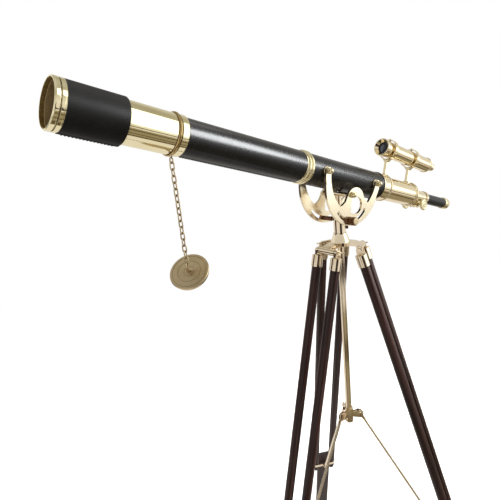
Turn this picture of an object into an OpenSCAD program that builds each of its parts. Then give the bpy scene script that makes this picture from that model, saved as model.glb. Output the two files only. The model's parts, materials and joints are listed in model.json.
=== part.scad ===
// Brass refractor telescope on a folding wooden tripod.
// Millimetres. Origin on the floor under the tripod's centre line, +Z up.
// The barrel lies in the XZ plane and its objective end points along -X.
// "Station" means distance along the barrel from above the tilt pivot, + towards the eye.

/* [Attitude] */
// Elevation of the barrel above the horizon, degrees
elevation = 17.8; // [10:0.1:25]
// Height of the tilt clamp above the floor
clamp_h = 1360; // [1300:1:1450]

/* [Barrel] */
// Radius over the leather of the main tube
leather_r = 28.5; // [28:0.1:29]
// Radius of the brass main tube under its leather
tube_r = 27.3; // [27:0.1:27.4]
// Bore of the main tube
tube_bore_r = 26; // [25.9:0.1:26.1]
// Station of the front collar's front edge
collar_front = -390.4; // [-392:0.1:-388]
// Width of the front collar
collar_w = 18.5; // [17:0.1:20]
// Outer radius of the front collar
collar_r = 31.6; // [31:0.1:32.2]
// Outer radius of the polished front sleeve
sleeve_r = 30; // [29.9:0.1:30]
// Station of the middle band's front edge
band_front = -126.4; // [-128:0.1:-124]
// Width of the middle band
band_w = 18.6; // [17:0.1:20]
// Station where the leather ends and the rear collar starts
leather_end = 114.6; // [114:0.1:116]
// Width of the rear collar
rear_collar_w = 28.8; // [28:0.1:30]
// Radius of the rear brass tube
rear_tube_r = 25.8; // [25.7:0.1:25.9]
// Station of the rear flange's front edge
flange_front = 242.4; // [241:0.1:244]
// Width of the rear flange
flange_w = 14.2; // [13:0.1:15]

/* [Hood] */
// Length of the hood, mouth to rear edge
hood_len = 93; // [88:0.5:96]
// Gap between the hood's rear edge and the front collar
hood_gap = 71.3; // [68:0.1:74]
// Radius over the hood's leather
hood_r = 32.9; // [32.5:0.1:33.2]

/* [Focuser] */
// Outer radius of the focuser body
focuser_r = 15; // [14.8:0.1:15.4]
// Station of the focuser body's rear end
focuser_end = 321.5; // [320:0.1:323]
// Outer radius of the draw tube
draw_r = 12.5; // [12.4:0.05:12.5]
// Station of the draw tube's rear end
draw_end = 414.9; // [412:0.1:418]
// Length of the eyepiece head behind the draw tube
eye_head = 20.6; // [18:0.1:24]
// Radius of the eyepiece head
eye_r = 14.4; // [13.4:0.1:15]
// Radius of the focus knobs
knob_r = 13; // [11:0.5:14]
// Station of the focus knobs' axle
pinion_x = 288; // [286:0.5:294]

/* [Finder] */
// Height of the finder's axis above the barrel's axis, at the front rim
finder_h = 84.4; // [82:0.1:88]
// Dip of the finder's axis towards the eye, degrees
finder_dip = 1.8; // [0:0.1:2]
// Station of the finder's front rim
finder_front = 119; // [115:1:123]
// Length of the finder's tube
finder_len = 188; // [180:1:195]
// Radius of the finder's tube
finder_r = 16.8; // [16:0.1:17]

/* [Yoke and stem] */
// Height of the tilt pivot above the clamp
pivot_rise = 52; // [52:0.5:53]
// Distance from the tilt pivot up to the barrel's axis
pivot_lift = 33.5; // [33.3:0.1:34]
// Distance of each yoke plate's middle from the barrel's axis
plate_y = 33; // [33:0.1:33.4]
// Thickness of a yoke plate
plate_t = 5; // [4.6:0.1:5]
// Distance of the plates' bolts from the middle of the yoke
bolt_x = 77; // [76:0.5:78]
// Forward offset of the clamp rod from the stem's axis
clamp_off = 8; // [7.5:0.1:8]
// Radius of the stem
stem_r = 12; // [12:0.1:13]

/* [Tripod] */
// Drop from the clamp to the leg pivots
leg_drop = 57.7; // [56:0.1:60]
// Distance of the leg pivots from the centre line
leg_r0 = 40.6; // [40:0.1:44]
// Splay of each leg from the vertical, degrees
splay = 15.41; // [15:0.01:16]
// Distance between a leg's two rods
rod_gap = 48.5; // [48:0.1:50]
// Radius of a leg rod
rod_r = 9.5; // [9.4:0.1:9.6]
// Distance down the leg from the pivot to the strap
strap_l = 769.6; // [760:0.1:780]
// Width of the sliding lower board
board_w = 36; // [35:0.5:36]
// Thickness of the sliding lower board
board_t = 10; // [9:0.5:10]
// Drop from the clamp to the spreader hub's pivots
hub_drop = 456.6; // [450:0.1:460]

/* [Chain and cap] */
// Number of chain links
link_n = 17; // [15:1:18]
// Pitch of the chain
link_pitch = 9.6; // [9.4:0.1:10]
// Radius of the lens cap
cap_r = 32; // [31:0.5:33]

/* [Hidden] */
$fn = 72;

brass = "#d9bd7c";
dark_brass = "#6b4a26";
black = "#202225";
wood = "#2c1d18";

fit = 0.08;            // radial running clearance
pivot_z = clamp_h + pivot_rise;
collar_rear = collar_front + collar_w;
band_rear = band_front + band_w;
hood_rear = collar_front - hood_gap;
hood_front = hood_rear - hood_len;
tube_front = hood_rear - 24;
cell_t = 4;            // thickness of the objective cell's flange
rear_collar_end = leather_end + rear_collar_w;
flange_end = flange_front + flange_w;

// ---------- placing ----------
function barrel_to_world(x, z) = [
    x * cos(elevation) + (z + pivot_lift) * sin(elevation), 0,
    pivot_z - x * sin(elevation) + (z + pivot_lift) * cos(elevation)];

module on_barrel() {
    translate([0, 0, pivot_z]) rotate([0, elevation, 0]) translate([0, 0, pivot_lift]) children();
}
// Turns children about the finder's axis at a station of the barrel
module finder_at(x) {
    translate([x, 0, finder_h - (x - finder_front) * tan(finder_dip)])
        rotate([0, finder_dip, 0]) children();
}
module on_finder() {
    on_barrel() finder_at(finder_front) translate([-finder_front, 0, 0]) children();
}
// Turns children about the barrel's axis: their +Z runs towards the eye
module along_x(x) {
    translate([x, 0, 0]) rotate([0, 90, 0]) children();
}
// Their +Z runs along +Y
module along_y(y) {
    translate([0, y, 0]) rotate([-90, 0, 0]) children();
}
module tube(x0, x1, r_out, r_in) {
    along_x(x0) difference() {
        cylinder(h = x1 - x0, r = r_out);
        translate([0, 0, -1]) cylinder(h = x1 - x0 + 2, r = r_in);
    }
}
// A ring turned to a profile of [station, radius] points
module turned(profile) {
    rotate([0, 90, 0]) rotate_extrude() polygon([for (p = profile) [p[1], p[0]]]);
}
// Points of a convex bead standing on radius r_base, for a profile: half its width, and its height
function bead(x, r_base, half, high = 0) = [for (a = [180 : -30 : 0])
    [x + half * cos(a), r_base + (high > 0 ? high : half) * sin(a)]];

// Points of an arc about c, and an oblong with round ends between p and q
function arc(c, r, a0, a1, n) = [for (i = [0 : n])
    let (a = a0 + (a1 - a0) * i / n) c + r * [cos(a), sin(a)]];
module oblong(p, q, r) {
    a = atan2(q[1] - p[1], q[0] - p[0]);
    polygon(concat(arc(p, r, a + 90, a + 270, 12), arc(q, r, a - 90, a + 90, 12)));
}

module bar(w, h, l) translate([-w / 2, -h / 2, 0]) cube([w, h, l]);

// ---------- barrel ----------
module main_tube() color(brass) on_barrel() tube(tube_front, rear_collar_end - 3, tube_r, tube_bore_r);

module main_leather() color(black) on_barrel() {
    tube(collar_rear, band_front, leather_r, tube_r);
    turned(concat([[band_rear, tube_r], [band_rear, leather_r]],
        bead(leather_end - 2.5, leather_r, 1.2),
        [[leather_end, leather_r], [leather_end, tube_r]]));
}

module front_sleeve() color(brass) on_barrel() tube(tube_front, collar_front, sleeve_r, tube_r);

collar_band_r = collar_r - 1.7;    // radius of the front collar's plain band
eye_x = collar_front + 9;          // station of the chain's eye on that band
eye_z = -(collar_band_r + 2.2);    // its height
module front_collar() color(brass) on_barrel() {
    turned(concat([[collar_front, tube_r], [collar_front, collar_band_r]],
        bead(collar_front + 3.4, collar_band_r, 3.2, 1.7),
        [[collar_rear - 1, collar_band_r], [collar_rear, collar_band_r - 0.8], [collar_rear, tube_r]]));
    translate([eye_x, 0, eye_z]) rotate([90, 0, 0]) rotate_extrude() translate([2.6, 0]) circle(r = 0.8);
}

module middle_band() color(brass) on_barrel()
    turned(concat([[band_front, tube_r], [band_front, leather_r]],
        bead(band_front + band_w * 0.28, leather_r + 0.1, 1),
        bead(band_front + band_w * 0.72, leather_r + 0.1, 1),
        [[band_rear, leather_r], [band_rear, tube_r]]));

lens_r = 23;
module objective_cell() color(brass) on_barrel() difference() {
    union() {
        tube(tube_front - cell_t, tube_front, sleeve_r - 0.4, lens_r - 1.6);
        tube(tube_front, tube_front + 24, tube_bore_r, lens_r - 1.6);
    }
    along_x(tube_front + 1) cylinder(h = 30, r = lens_r);
}

surface_r = 190;       // radius of the objective's glass surfaces
// Points of a spherical glass surface from radius y0 to y1; r > 0 bulges towards the front
function glass(x, r, y0, y1, n = 6) = [for (i = [0 : n]) let (y = y0 + (y1 - y0) * i / n)
    [x + r - sign(r) * sqrt(r * r - y * y), y]];

module objective_lenses() color("lightcyan") on_barrel() {
    front = tube_front + 1.2;
    crown_t = 7;
    turned(concat(glass(front, surface_r, 0, lens_r), glass(front + crown_t, -surface_r, lens_r, 0)));
    turned(concat(glass(front + crown_t + 0.1, -surface_r, 0, lens_r),
        [[front + crown_t + 4, lens_r], [front + crown_t + 4, 0]]));
}

module rear_collar() color(brass) on_barrel()
    turned(concat([[leather_end, tube_r], [leather_end, leather_r - 0.9], [leather_end + 2, leather_r - 0.3],
        [rear_collar_end - 9, leather_r - 0.3]],
        bead(rear_collar_end - 2.4, leather_r - 0.1, 1.4),
        [[rear_collar_end, leather_r - 0.6], [rear_collar_end, rear_tube_r],
         [rear_collar_end - 3, rear_tube_r], [rear_collar_end - 3, tube_r]]));

module rear_tube() color(brass) on_barrel()
    tube(leather_end - 10, flange_front + 6, rear_tube_r, rear_tube_r - 1.4);

module rear_flange() color(brass) on_barrel() {
    step = flange_front + 6;
    turned(concat([[flange_front, rear_tube_r], [flange_front, rear_tube_r + 0.4]],
        bead(flange_front + 3.4, rear_tube_r + 0.4, 1.5),
        bead(flange_front + 9.6, rear_tube_r + 0.2, 1.8),
        [[flange_end, rear_tube_r - 1], [flange_end, focuser_r], [step, focuser_r], [step, rear_tube_r]]));
}

// ---------- focuser ----------
tooth = PI;                  // circular pitch of a module 1 rack
pinion_teeth = 10;
pinion_pitch_r = pinion_teeth / 2;
rack_flat = draw_r - 0.9;    // depth of the draw tube's flat under the rack
rack_root = rack_flat + 0.8;
rack_tip = rack_root + 1.9;
pinion_z = -(rack_tip - 0.95 + pinion_pitch_r);
rack_w = 4;
housing_half = 11;           // half the length of the pinion housing

module focuser_body() color(brass) on_barrel() difference() {
    union() {
        along_x(flange_front - 6) cylinder(h = focuser_end - flange_front + 6, r = focuser_r);
        tube(focuser_end - 8, focuser_end, focuser_r + 1.3, draw_r);
        tube(flange_end, flange_end + 5, focuser_r + 2, draw_r);
        translate([pinion_x, 0, pinion_z]) along_y(-housing_half) cylinder(h = 2 * housing_half, r = 7.5);
        translate([pinion_x - 8.5, -housing_half + 2, pinion_z])
            cube([17, 2 * housing_half - 4, -pinion_z - draw_r]);
        for (y = [-housing_half + 1.5, 0, housing_half - 3.5])
            translate([pinion_x, 0, pinion_z]) along_y(y) cylinder(h = 2, r = 8.3);
    }
    along_x(flange_front - 10) cylinder(h = 100, r = draw_r + fit);
    translate([flange_front - 10, -rack_w / 2 - 0.2, -rack_tip - 0.15])
        cube([100, rack_w + 0.4, rack_tip]);
    translate([pinion_x, 0, pinion_z]) {
        along_y(-rack_w / 2 - 0.3) cylinder(h = rack_w + 0.6, r = pinion_pitch_r + 1.2);
        along_y(-housing_half - 1) cylinder(h = 2 * housing_half + 2, r = 2 + fit);
    }
}

draw_front = flange_front - 2;
module draw_tube() color(black) on_barrel() difference() {
    tube(draw_front, draw_end, draw_r, draw_r - 1.3);
    translate([rack_x0 - 1, -rack_w / 2 - 0.05, -draw_r - 1])
        cube([rack_x1 - rack_x0 + 2, rack_w + 0.1, draw_r + 1 - rack_flat]);
}

rack_x0 = pinion_x - 12 * tooth;
rack_x1 = pinion_x + 17 * tooth;
tooth_half_root = 0.95;
tooth_half_tip = 0.42;
module focus_rack() color(dark_brass) on_barrel() translate([0, rack_w / 2, 0]) rotate([90, 0, 0])
    linear_extrude(rack_w) {
        translate([rack_x0, -rack_root]) square([rack_x1 - rack_x0, rack_root - rack_flat]);
        for (i = [-11 : 16]) translate([pinion_x + i * tooth, 0]) polygon([
            [-tooth_half_root, -rack_root + 0.01], [-tooth_half_tip, -rack_tip],
            [tooth_half_tip, -rack_tip], [tooth_half_root, -rack_root + 0.01]]);
    }

module focus_pinion() color(brass) on_barrel() translate([pinion_x, 0, pinion_z]) {
    along_y(-26) cylinder(h = 52, r = 2);
    along_y(-rack_w / 2) linear_extrude(rack_w) union() {
        circle(r = 3.9);
        for (i = [0 : pinion_teeth - 1]) rotate(i * 360 / pinion_teeth)
            polygon([[3.5, -0.95], [5.8, -0.38], [5.8, 0.38], [3.5, 0.95]]);
    }
}

module focus_knobs() color(brass) on_barrel() translate([pinion_x, 0, pinion_z])
    for (s = [-1, 1]) scale([1, s, 1]) difference() {
        union() {
            along_y(12) cylinder(h = 9, r = 4.5);
            along_y(20.6) cylinder(h = 1, r1 = 11.6, r2 = 12.6);
            along_y(21.5) cylinder(h = 4, r = knob_r);
            along_y(25.4) cylinder(h = 1, r1 = 12.4, r2 = 11);
        }
        along_y(11) cylinder(h = 15, r = 2);
    }

module eyepiece() color(brass) on_barrel() difference() {
    union() {
        along_x(draw_end - 36) cylinder(h = 36, r = draw_r - 1.3 - fit);
        turned([[draw_end, 0], [draw_end, eye_r - 1.2], [draw_end + 2, eye_r],
            [draw_end + eye_head - 6, eye_r], [draw_end + eye_head - 2, eye_r - 1],
            [draw_end + eye_head, eye_r - 3], [draw_end + eye_head, 0]]);
    }
    along_x(draw_end - 37) cylinder(h = 37 + eye_head - 4, r = 10);
    along_x(draw_end) cylinder(h = eye_head + 1, r = 4);
    along_x(draw_end + eye_head - 2.5) cylinder(h = 3, r1 = 4, r2 = 8);
}

module eyepiece_lenses() color("lightcyan") on_barrel() for (lens = [draw_end - 32, draw_end + 8])
    turned(concat([[lens, 0], [lens, 10]], glass(lens + 3.5, -24, 10, 0)));

// ---------- hood ----------
mouth_depth = 6;             // depth of the bore that takes the cap's plug
mouth_r = sleeve_r + 0.7;
module hood_tube() color(brass) on_barrel()
    tube(hood_front + mouth_depth, hood_rear, hood_r - 1.5, sleeve_r + fit);

rim_w = 14.3;
module hood_leather() color(black) on_barrel() turned([[hood_front + rim_w, hood_r - 1.5],
    [hood_front + rim_w, hood_r], [hood_rear - 2.5, hood_r], [hood_rear - 0.8, hood_r - 0.5],
    [hood_rear, hood_r - 1.5]]);

module hood_rim() color(brass) on_barrel() turned(concat([[hood_front, mouth_r],
    [hood_front, hood_r - 1]], bead(hood_front + 3, hood_r - 1, 1.5),
    [[hood_front + 5.4, hood_r - 1.1], [hood_front + 6.8, hood_r - 1.1]],
    bead(hood_front + 9.4, hood_r - 0.9, 1.4),
    [[hood_front + rim_w, hood_r + 0.1], [hood_front + rim_w, hood_r - 1.5],
     [hood_front + mouth_depth, hood_r - 1.5], [hood_front + mouth_depth, mouth_r]]));

// ---------- finder ----------
hoop_r = finder_r + 3.2;     // inner radius of a finder hoop
hoop_out = hoop_r + 1.8;
hoop_w = 10;
post_x = [rear_collar_end + 4.4, flange_front - 5];
screw_angles = [0, 120, 240];
module finder_bracket(x) {
    difference() {
        union() {
            finder_at(x) tube(-hoop_w / 2, hoop_w / 2, hoop_out, hoop_r - 1);
            finder_at(x) rotate([90, 0, 90]) translate([0, 0, -3.6]) linear_extrude(7.2)
                polygon([[-13, 4 - hoop_r], [-3.4, -hoop_out - 5], [3.4, -hoop_out - 5], [13, 4 - hoop_r]]);
            translate([x, 0, rear_tube_r - 1])
                bar(8, 6.4, finder_h - (x - finder_front) * tan(finder_dip) - hoop_r - rear_tube_r);
            translate([x, 0, rear_tube_r - 1.5]) bar(8.4, 14, 4);
        }
        finder_at(x) along_x(-hoop_w) cylinder(h = 2 * hoop_w, r = hoop_r);
        along_x(x - hoop_w) cylinder(h = 2 * hoop_w, r = rear_tube_r);
        for (a = screw_angles) finder_at(x) rotate([a, 0, 0])
            translate([0, 0, hoop_r - 2]) cylinder(h = 6, r = 1.5);
    }
}
module finder_brackets() color(brass) on_barrel() for (x = post_x) finder_bracket(x);

module bracket_screws() color(dark_brass) on_barrel() for (x = post_x, a = screw_angles)
    finder_at(x) rotate([a, 0, 0]) {
        translate([0, 0, finder_r]) cylinder(h = 6.2, r = 1.5);
        translate([0, 0, hoop_out + 0.1]) cylinder(h = 2, r = 2.3);
    }

finder_rear = finder_front + finder_len;
finder_lens_r = 11.6;
finder_lens = finder_front + 8;      // station of the finder's front lens
module finder_tube() color(brass) on_finder() difference() {
    turned(concat([[finder_front, 0], [finder_front, 17.8], [finder_front + 1.2, 18.6],
        [finder_front + 6, 18.6], [finder_front + 7.4, finder_r], [finder_rear - 5, finder_r]],
        bead(finder_rear - 2.4, finder_r, 1.4), [[finder_rear, finder_r - 0.6], [finder_rear, 0]]));
    along_x(finder_front - 1) cylinder(h = 8, r1 = 18.2, r2 = finder_lens_r);
    along_x(finder_front) cylinder(h = finder_len + 1, r = 6.5 + fit);
    along_x(finder_front + 6) cylinder(h = 20, r = finder_lens_r);
    along_x(finder_front + 14) cylinder(h = finder_len - 20, r = finder_r - 1.8);
}

module finder_objective() color("lightcyan") on_finder() turned(concat(
    glass(finder_lens, 60, 0, finder_lens_r), [[finder_lens + 4, finder_lens_r], [finder_lens + 4, 0]]));

module finder_eyepiece() color(brass) on_finder() difference() {
    union() {
        along_x(finder_rear - 24) cylinder(h = 50, r = 6.5);
        turned([[finder_rear + 0.2, 0], [finder_rear + 0.2, 7], [finder_rear + 4, 7.8],
            [finder_rear + 10, 7.8], [finder_rear + 13, 7], [finder_rear + 14, 9], [finder_rear + 15, 9.7],
            [finder_rear + 18, 9.7], [finder_rear + 19, 8.6], [finder_rear + 21, 7.8], [finder_rear + 23, 9],
            [finder_rear + 28, 9], [finder_rear + 30, 7.6], [finder_rear + 30, 0]]);
    }
    along_x(finder_rear - 25) cylinder(h = 51, r = 5.4);
    along_x(finder_rear) cylinder(h = 40, r = 3);
    along_x(finder_rear + 28) cylinder(h = 3, r1 = 3, r2 = 6.5);
}

module finder_eye_lens() color("lightcyan") on_finder()
    turned(concat([[finder_rear, 0], [finder_rear, 5.4]], glass(finder_rear + 2.6, -12, 5.4, 0)));

// ---------- yoke ----------
// Coordinates of the plate: x towards the eye, z up from the barrel's axis
slot_r = norm([clamp_off, pivot_rise - 2]);
slot_w = 7;
slot_from = -62;             // degrees from straight down, towards the eye
slot_to = 41;                // and towards the objective
lobe = [13, -43.5];
// A curved slot about the tilt pivot; angles from the barrel's direction towards the eye
module plate_arc(r, a0, a1, w) {
    pivot = [0, -pivot_lift];
    half = w / 2;
    polygon(concat(arc(pivot, r + half, a0, a1 - 1, 30),
        arc(pivot + r * [cos(a1), sin(a1)], half, a1, a1 + 180, 8),
        arc(pivot, r - half, a1 - 1, a0 + 1, 30),
        arc(pivot + r * [cos(a0), sin(a0)], half, a0 + 180, a0 + 350, 8)));
}
module plate_outline() {
    difference() {
        translate([0, -14]) circle(r = 79.5);
        translate([0, 3]) circle(r = 69.5);
        translate([-100, -22]) square([200, 120]);
    }
    for (s = [-1, 1]) scale([s, 1]) {
        translate([bolt_x, 0]) circle(r = 7.2);
        polygon([[82.8, 1], [82.9, -10], [79.6, -22], [76.8, -30], [61, -31], [66, -20], [69, -9], [71, 1]]);
    }
    translate(lobe) circle(r = 26.5);
    polygon([[-12, -36], [-16, -49], [-24, -57], [-32, -61], [-20, -84], [30, -84],
        [58, -50], [53, -42], [44, -37], [36, -31]]);
}
module yoke_plates() color(brass) on_barrel() for (y = [-plate_y, plate_y])
    translate([0, y + plate_t / 2, 0]) rotate([90, 0, 0]) linear_extrude(plate_t) difference() {
        plate_outline();
        translate([18, -51]) circle(r = 17);
        polygon([[1, -37], [9, -34.8], [18, -34], [18, -68], [10, -68.6], [4, -67]]);
        plate_arc(slot_r, -90 - slot_to, -90 - slot_from, slot_w);
        translate([0, -pivot_lift]) circle(r = 2.5);
        for (s = [-1, 1]) translate([s * bolt_x, 0]) circle(r = 2.5);
    }

plate_out = plate_y + plate_t / 2;
plate_in = plate_y - plate_t / 2;
module yoke_studs() color(brass) on_barrel() difference() {
    for (s = [-1, 1], t = [-1, 1]) translate([s * bolt_x, 0, 0]) scale([1, t, 1]) {
        along_y(22) cylinder(h = plate_in - 22, r = 8);
        along_y(22) cylinder(h = plate_out + 6 - 22, r = 2.5);
    }
    tube(-bolt_x - 20, bolt_x + 20, leather_r, 1);
}

module acorn_nut() difference() {
    union() {
        cylinder(h = 3.2, r = 6.4, $fn = 6);
        cylinder(h = 4.6, r = 5.2);
        translate([0, 0, 4.6]) intersection() {
            sphere(r = 5.2);
            cylinder(h = 6, r = 6);
        }
    }
    translate([0, 0, -1]) cylinder(h = 7, r = 2.5);
}
module yoke_nuts() color(brass) on_barrel() for (t = [-1, 1],
        p = [[-bolt_x, 0], [bolt_x, 0], [0, -pivot_lift]])
    translate([p[0], 0, p[1]]) rotate([-90 * t, 0, 0]) translate([0, 0, plate_out]) acorn_nut();

module pivot_bolt() color(brass) translate([0, 0, pivot_z]) along_y(-plate_out - 6)
    cylinder(h = 2 * plate_out + 12, r = 2.5);

// ---------- stem ----------
cone_top = clamp_h - 27;
spigot_r = 8;
spigot_top = clamp_h - 9;
clamp_z = clamp_h + 2;
tee_r = 4;
module stem() color(brass) difference() {
    union() {
        rotate_extrude() polygon([[0, cone_top + 0.3], [stem_r, cone_top + 0.3], [stem_r, clamp_h + 9],
            [stem_r - 1.5, clamp_h + 11], [7.4, clamp_h + 15], [6.3, clamp_h + 20],
            [6.3, pivot_z - 2], [0, pivot_z - 2]]);
        translate([0, 0, pivot_z]) along_y(-plate_in + 1) cylinder(h = 2 * plate_in - 2, r = tee_r);
    }
    translate([0, 0, pivot_z]) along_y(-40) cylinder(h = 80, r = 2.5 + fit);
    translate([0, 0, cone_top]) cylinder(h = spigot_top - cone_top + 0.5, r = spigot_r + fit);
    translate([-clamp_off, 0, clamp_z]) along_y(-40) cylinder(h = 80, r = 3);
    translate([0, 0, azimuth_z]) rotate([0, 90, azimuth_a]) cylinder(h = 40, r = 2 + fit);
}

clamp_end = plate_out + 8.5;
module clamp_rod() color(dark_brass) translate([-clamp_off, 0, clamp_z]) {
    along_y(-clamp_end) cylinder(h = 2 * clamp_end, r = 3);
    for (s = [-1, 1]) rotate([90 * s, 0, 0]) translate([0, 0, stem_r])
        cylinder(h = plate_in - stem_r - 0.4, r = 4.6);
    along_y(plate_out + 0.4) cylinder(h = 6, r = 6.4, $fn = 6);
}

grip = 8.3;                  // radius of the clamp knob
module clamp_knob() color(dark_brass) translate([-clamp_off, 0, clamp_z]) difference() {
    rotate([90, 0, 0]) {
        translate([0, 0, plate_out + 0.4]) cylinder(h = 1.6, r = grip - 1.6);
        translate([0, 0, plate_out + 2]) linear_extrude(10) difference() {
            circle(r = grip);
            for (a = [0 : 15 : 345]) rotate(a) translate([grip + 0.5, 0]) circle(r = 0.9, $fn = 16);
        }
        translate([0, 0, plate_out + 12]) cylinder(h = 1.2, r1 = grip - 1, r2 = grip - 2.4);
    }
    along_y(-clamp_end - 0.1) cylinder(h = clamp_end, r = 3 + fit);
}

azimuth_z = clamp_h - 17;
azimuth_a = -45;
module azimuth_screw() color(dark_brass) translate([0, 0, azimuth_z]) rotate([0, 90, azimuth_a]) {
    translate([0, 0, spigot_r + 0.3]) cylinder(h = 5, r = 2);
    translate([0, 0, stem_r + 0.5]) cylinder(h = 4.5, r = 3.4);
}

// ---------- tripod head ----------
pivot_drop = clamp_h - leg_drop;     // height of the leg pivots
arm_w = 28;
boss_half = rod_gap / 2 - 4;         // half the length of an arm's pivot boss
cone_foot = clamp_h - 46.6;
module arm_profile() polygon([[6, cone_foot + 1], [20, cone_foot + 0.6], [30, cone_foot - 0.6],
    [39, cone_foot - 3.6], [45, cone_foot - 7.6], [leg_r0 + 6.6, pivot_drop + 1], [leg_r0, pivot_drop - 6],
    [leg_r0 - 6, pivot_drop - 1], [leg_r0 - 8, cone_foot - 6.4], [24, cone_foot - 6], [6, cone_foot - 6]]);
module tripod_head() color(brass) difference() {
    union() {
        rotate_extrude() polygon([[0, cone_foot - 6], [19.5, cone_foot - 6], [19.5, cone_foot],
            [17.4, cone_foot + 6], [15, cone_foot + 13], [13.2, cone_top - 1], [13.2, cone_top],
            [spigot_r, cone_top], [spigot_r, spigot_top], [0, spigot_top]]);
        for (k = [1 : 3]) rotate([0, 0, leg_azimuth(k)]) {
            translate([0, arm_w / 2, 0]) rotate([90, 0, 0]) linear_extrude(arm_w) arm_profile();
            translate([leg_r0, 0, pivot_drop]) along_y(-boss_half) cylinder(h = 2 * boss_half, r = 6.6);
        }
    }
    for (k = [1 : 3]) rotate([0, 0, leg_azimuth(k)]) translate([leg_r0, 0, pivot_drop])
        along_y(-40) cylinder(h = 80, r = 2.5);
    translate([0, 0, cone_foot - 7]) cylinder(h = 14, r = centre_r);
}

function leg_azimuth(k) = [0, 180, -60, 60][k];

tongue_t = 6;
bolt_reach = (rod_gap + tongue_t) / 2 + 0.4;   // from the leg's middle to a bolt's head
module wing_nut() {
    cylinder(h = 4, r = 4.4);
    for (s = [-1, 1]) rotate([90, 0, 0]) translate([0, 0, -1]) linear_extrude(2) scale([s, 1]) {
        polygon([[2, 0.6], [6, 3], [2, 4]]);
        translate([7.6, 5]) circle(r = 3.4);
        polygon([[2, 1], [2, 4], [6.4, 8], [9, 2]]);
    }
}
module leg_pivot_bolts() color(brass) for (k = [1 : 3])
    rotate([0, 0, leg_azimuth(k)]) translate([leg_r0, 0, pivot_drop]) {
        along_y(-bolt_reach - 2) cylinder(h = 2 * bolt_reach + 4, r = 2.5);
        along_y(-bolt_reach - 3) cylinder(h = 3, r = 5, $fn = 6);
        along_y(bolt_reach) wing_nut();
    }

centre_r = 6.6;
hub_z = clamp_h - hub_drop;
module centre_tube() color(brass) {
    translate([0, 0, hub_z - 17]) cylinder(h = cone_foot + 7 - hub_z + 17, r = centre_r);
    translate([0, 0, hub_z - 20]) cylinder(h = 4, r = 9.2);
    translate([0, 0, hub_z - 22]) cylinder(h = 2.1, r1 = 6.5, r2 = 8.6);
}

// ---------- spreader ----------
lug_r = 28;                  // distance of the stay pivots from the centre line
pin_r = 1.5;
stay_half = 1.6;             // half the thickness of a stay's flat end
stay_end_r = 3.7;            // its radius, clear of the strap's wall
play = [-3.4, 7.4];          // path of the open pivot, radially and upwards
module hub_cheek() rotate([90, 0, 0]) linear_extrude(2.4) difference() {
    polygon([[8, -6], [24, -5], [31, -4], [32.5, 0], [31, 6], [27, 12], [20, 12], [8, 6]]);
    oblong([lug_r, 0], [lug_r, 0] + play, 2.3);
}
module spreader_hub() color(brass) difference() {
    translate([0, 0, hub_z]) {
        translate([0, 0, -13]) cylinder(h = 28, r = 9.2);
        for (k = [1 : 3]) rotate([0, 0, leg_azimuth(k)]) {
            translate([0, -stay_half - 0.3, 0]) hub_cheek();
            translate([0, stay_half + 2.7, 0]) hub_cheek();
        }
    }
    translate([0, 0, hub_z - 20]) cylinder(h = 60, r = centre_r + fit);
    translate([0, 0, hub_z + 10]) rotate([0, 90, 120]) cylinder(h = 30, r = 2 + fit);
}

module hub_screw() color(dark_brass) translate([0, 0, hub_z + 10]) rotate([0, 90, 120]) {
    translate([0, 0, centre_r + 0.3]) cylinder(h = 5, r = 2);
    translate([0, 0, 9.6]) cylinder(h = 4, r = 3.4);
}

// ---------- legs: in the leg's frame the pivot is the origin and the leg runs down -Z ----------
module on_leg(k) rotate([0, 0, leg_azimuth(k)]) translate([leg_r0, 0, pivot_drop])
    rotate([0, -splay, 0]) children();

rod_top = 14;
rod_end = 800;
leg_len = pivot_drop / cos(splay);
groove = (board_w - rod_gap) / 2 + rod_r + 0.15;
module leg_rods(k) color(wood) on_leg(k) for (s = [-1, 1]) scale([1, s, 1]) difference() {
    translate([0, rod_gap / 2, 0]) {
        translate([0, 0, -rod_end + rod_r]) cylinder(h = rod_end - rod_r - rod_top, r = rod_r);
        translate([0, 0, -rod_end + rod_r]) sphere(r = rod_r);
    }
    translate([-board_t / 2 - 0.15, 0, -rod_end - 5])
        cube([board_t + 0.3, rod_gap / 2 - rod_r + groove, 480]);
}

ferrule_r = 11.5;
ferrule_end = 34;
ear = 15;                    // inward distance of the stay's pin from the middle of the leg
module strap_shape(r) {
    for (s = [-1, 1]) translate([0, s * rod_gap / 2]) circle(r = r);
    translate([-r, -rod_gap / 2]) square([2 * r, rod_gap]);
}
module leg_fittings(k) color(brass) on_leg(k) {
    for (s = [-1, 1]) translate([0, s * rod_gap / 2, 0]) difference() {
        union() {
            translate([0, 0, -ferrule_end]) cylinder(h = ferrule_end - 10, r = ferrule_r);
            translate([0, 0, -10.1]) cylinder(h = 2, r1 = ferrule_r - 0.6, r2 = 7);
            along_y(-tongue_t / 2) cylinder(h = tongue_t, r = 6.4);
            translate([-6.4, -tongue_t / 2, -11]) cube([12.8, tongue_t, 11]);
        }
        translate([0, 0, -ferrule_end - 1]) cylinder(h = ferrule_end + 1 - rod_top, r = rod_r);
        along_y(-10) cylinder(h = 20, r = 2.5 + fit);
    }
    translate([0, 0, -strap_l - 4.5]) difference() {
        linear_extrude(9) difference() {
            strap_shape(rod_r + 1.6);
            strap_shape(rod_r);
        }
        translate([0, rod_gap / 2 + rod_r + 3, 4.5]) along_y(-6) cylinder(h = 9, r = 2 + fit);
    }
    translate([0, 0, -strap_l]) {
        difference() {
            for (y = [-stay_half - 0.3, stay_half + 2.7]) translate([0, y, 0]) rotate([90, 0, 0])
                linear_extrude(2.4) {
                    translate([-ear, 0]) circle(r = 4.4);
                    translate([-ear, -4.4]) square([ear - rod_r - 0.8, 8.8]);
                }
            translate([-ear, 0, 0]) along_y(-10) cylinder(h = 20, r = pin_r);
        }
        translate([-ear, 0, 0]) along_y(-5.2) cylinder(h = 10.4, r = pin_r);
    }
}

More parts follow.
